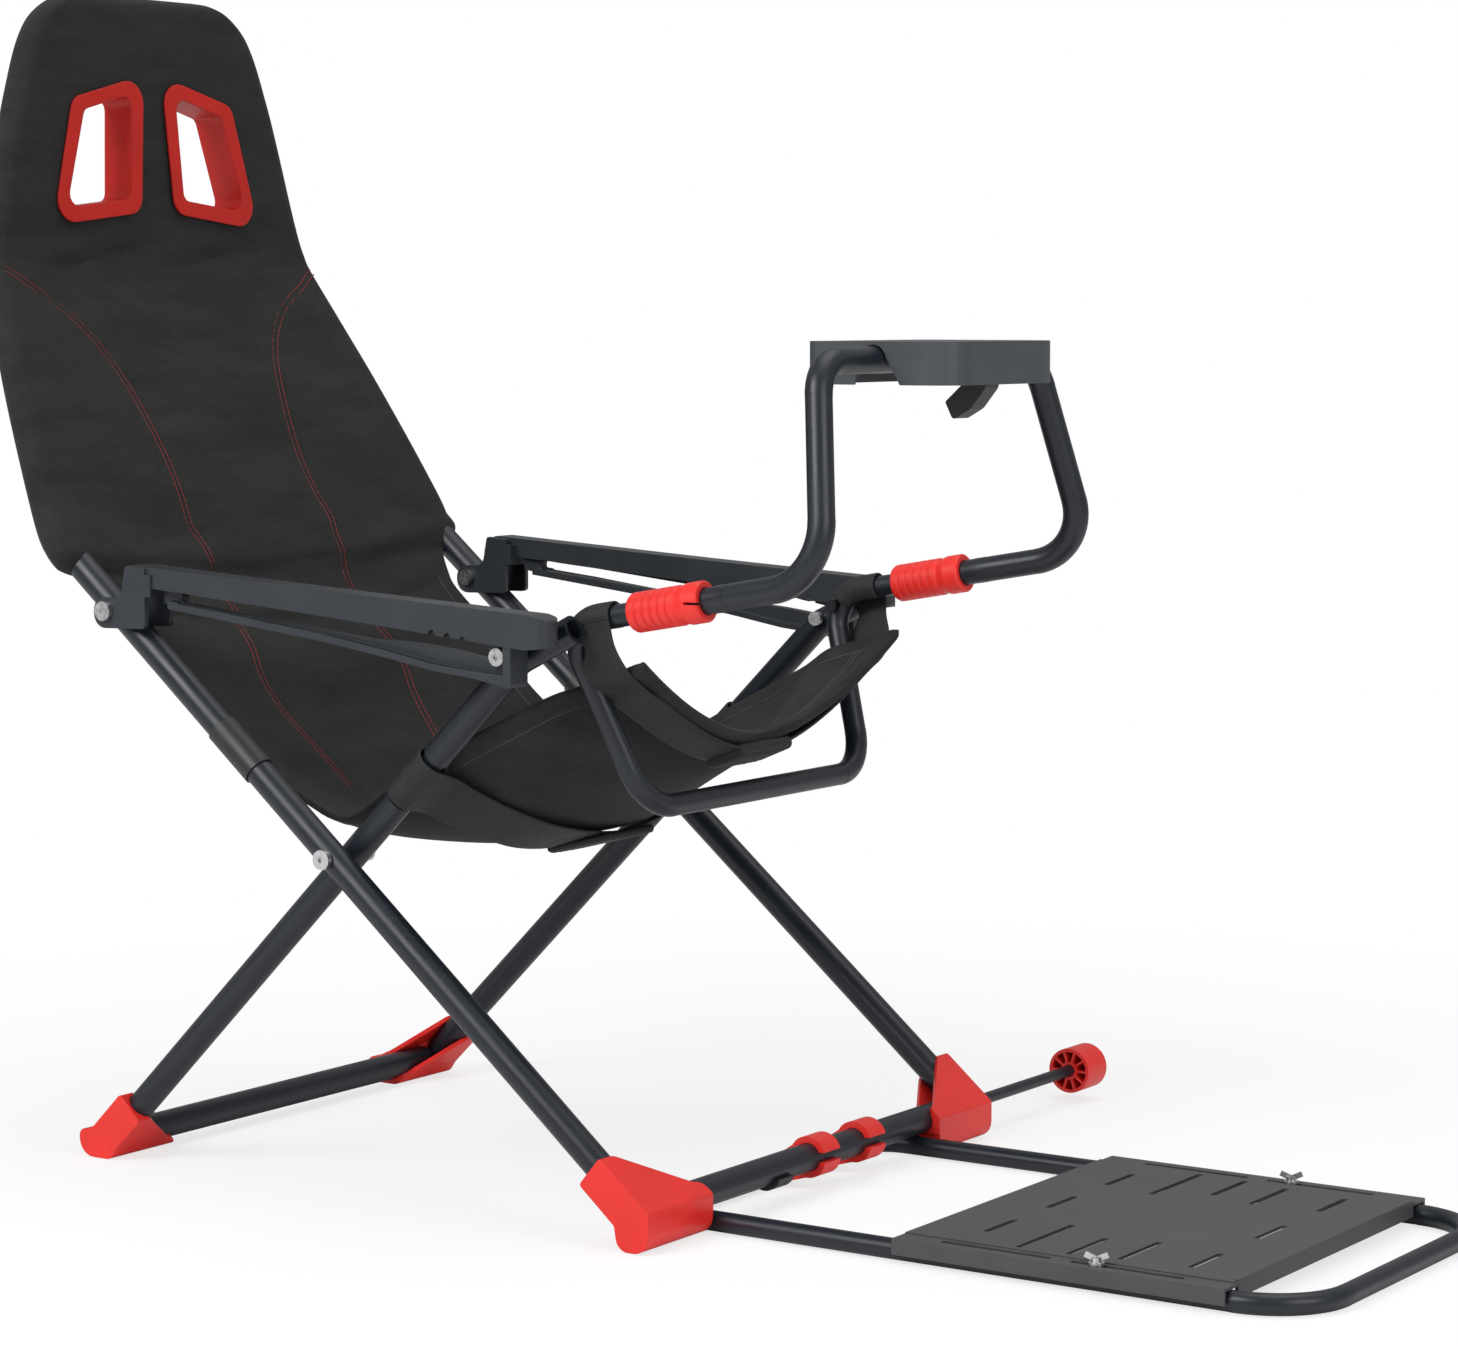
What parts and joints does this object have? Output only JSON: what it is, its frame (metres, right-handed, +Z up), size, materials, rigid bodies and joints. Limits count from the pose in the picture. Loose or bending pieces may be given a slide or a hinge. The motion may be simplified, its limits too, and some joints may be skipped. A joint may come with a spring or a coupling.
{
  "type": "sim racing cockpit",
  "caption": "Folding sim racing cockpit: cloth bucket seat on crossed tube legs, armrests, sliding wheel support with plate, and a slotted pedal plate on a floor loop.",
  "frame": {"origin": "centre of the bounding box in plan, on the floor", "axes": "+X the way the driver faces, +Y the driver's left, +Z up"},
  "size_m": [1.2532, 0.7258, 0.9832],
  "materials": {
    "tube": "satin powder coat, dark blue grey",
    "arm_plastic": "satin moulded, dark blue grey",
    "red_plastic": "moulded red, satin gloss",
    "red_trim": "moulded red rim",
    "steel": "bright zinc",
    "cloth": "dense charcoal suede weave",
    "webbing": "smooth black strap",
    "sheet_metal": "fine texture powder coat, mid grey"
  },
  "bodies": {
    "frame_a": {"back_hoop": "tube", "leg_a_right": "tube", "leg_a_left": "tube", "sleeve_a_right": "arm_plastic", "sleeve_a_left": "arm_plastic", "front_foot": "tube", "corner_front_right": "red_plastic", "corner_front_left": "red_plastic", "pivot_bolts": "steel", "arm_rear_bolts": "steel", "wheel_axle": "tube", "back_cloth": "cloth", "head_trims": "red_trim", "pedal_loop": "tube", "pedal_clips": "red_plastic", "wing_bolts": "steel", "foot_saddle": "arm_plastic", "seat_cloth": "cloth"},
    "frame_b": {"leg_b_right": "tube", "leg_b_left": "tube", "rear_foot": "tube", "corner_rear_right": "red_plastic", "corner_rear_left": "red_plastic", "arm_front_bolts": "steel", "front_hinge_bolts": "steel", "rear_strap": "webbing"},
    "arm_right": {"arm_right": "arm_plastic"},
    "arm_left": {"arm_left": "arm_plastic"},
    "front": {"front_frame": "tube", "clamp_right": "red_plastic", "clamp_left": "red_plastic", "front_strap": "webbing"},
    "support": {"wheel_support": "tube"},
    "plate": {"wheel_plate": "sheet_metal", "plate_lever": "arm_plastic"},
    "pedal_plate": {"pedal_plate": "sheet_metal"},
    "wheel": {"side_wheel": "red_plastic"}
  },
  "joints": [
    {"name": "fold", "type": "hinge", "parent": "frame_a", "child": "frame_b", "pos_m": [-0.1945, -0.0991, 0.276], "axis": [0, -1, 0], "range_deg": [0, 36], "deforming": ["seat_cloth"]},
    {"name": "arm_right", "type": "hinge", "parent": "frame_a", "child": "arm_right", "pos_m": [-0.4185, -0.3411, 0.46396], "axis": [0, -1, 0], "range_deg": [0, 11.9]},
    {"name": "arm_left", "type": "hinge", "parent": "frame_a", "child": "arm_left", "pos_m": [-0.4185, 0.1429, 0.46396], "axis": [0, -1, 0], "range_deg": [0, 11.9]},
    {"name": "front_lift", "type": "hinge", "parent": "frame_b", "child": "front", "pos_m": [0.0085, -0.0991, 0.459], "axis": [0, -1, 0], "range_deg": [0, 60], "deforming": ["seat_cloth"]},
    {"name": "reach_slide", "type": "slide", "parent": "front", "child": "support", "axis": [0.9846, 0, 0.175], "range_m": [0, 0.04]},
    {"name": "plate_tilt", "type": "hinge", "parent": "support", "child": "plate", "pos_m": [0.2095, -0.0991, 0.671], "axis": [0, -1, 0], "range_deg": [-15, 20]},
    {"name": "pedal_slide", "type": "slide", "parent": "frame_a", "child": "pedal_plate", "axis": [1, 0, 0], "range_m": [-0.066, 0.013]},
    {"name": "wheel_spin", "type": "hinge", "parent": "frame_a", "child": "wheel", "pos_m": [0.10106, 0.3439, 0.028], "axis": [0, 1, 0], "continuous": true}
  ],
  "couplings": [
    {"joint": "arm_right", "follows": "fold", "ratio": 0.33},
    {"joint": "arm_left", "follows": "fold", "ratio": 0.33}
  ]
}
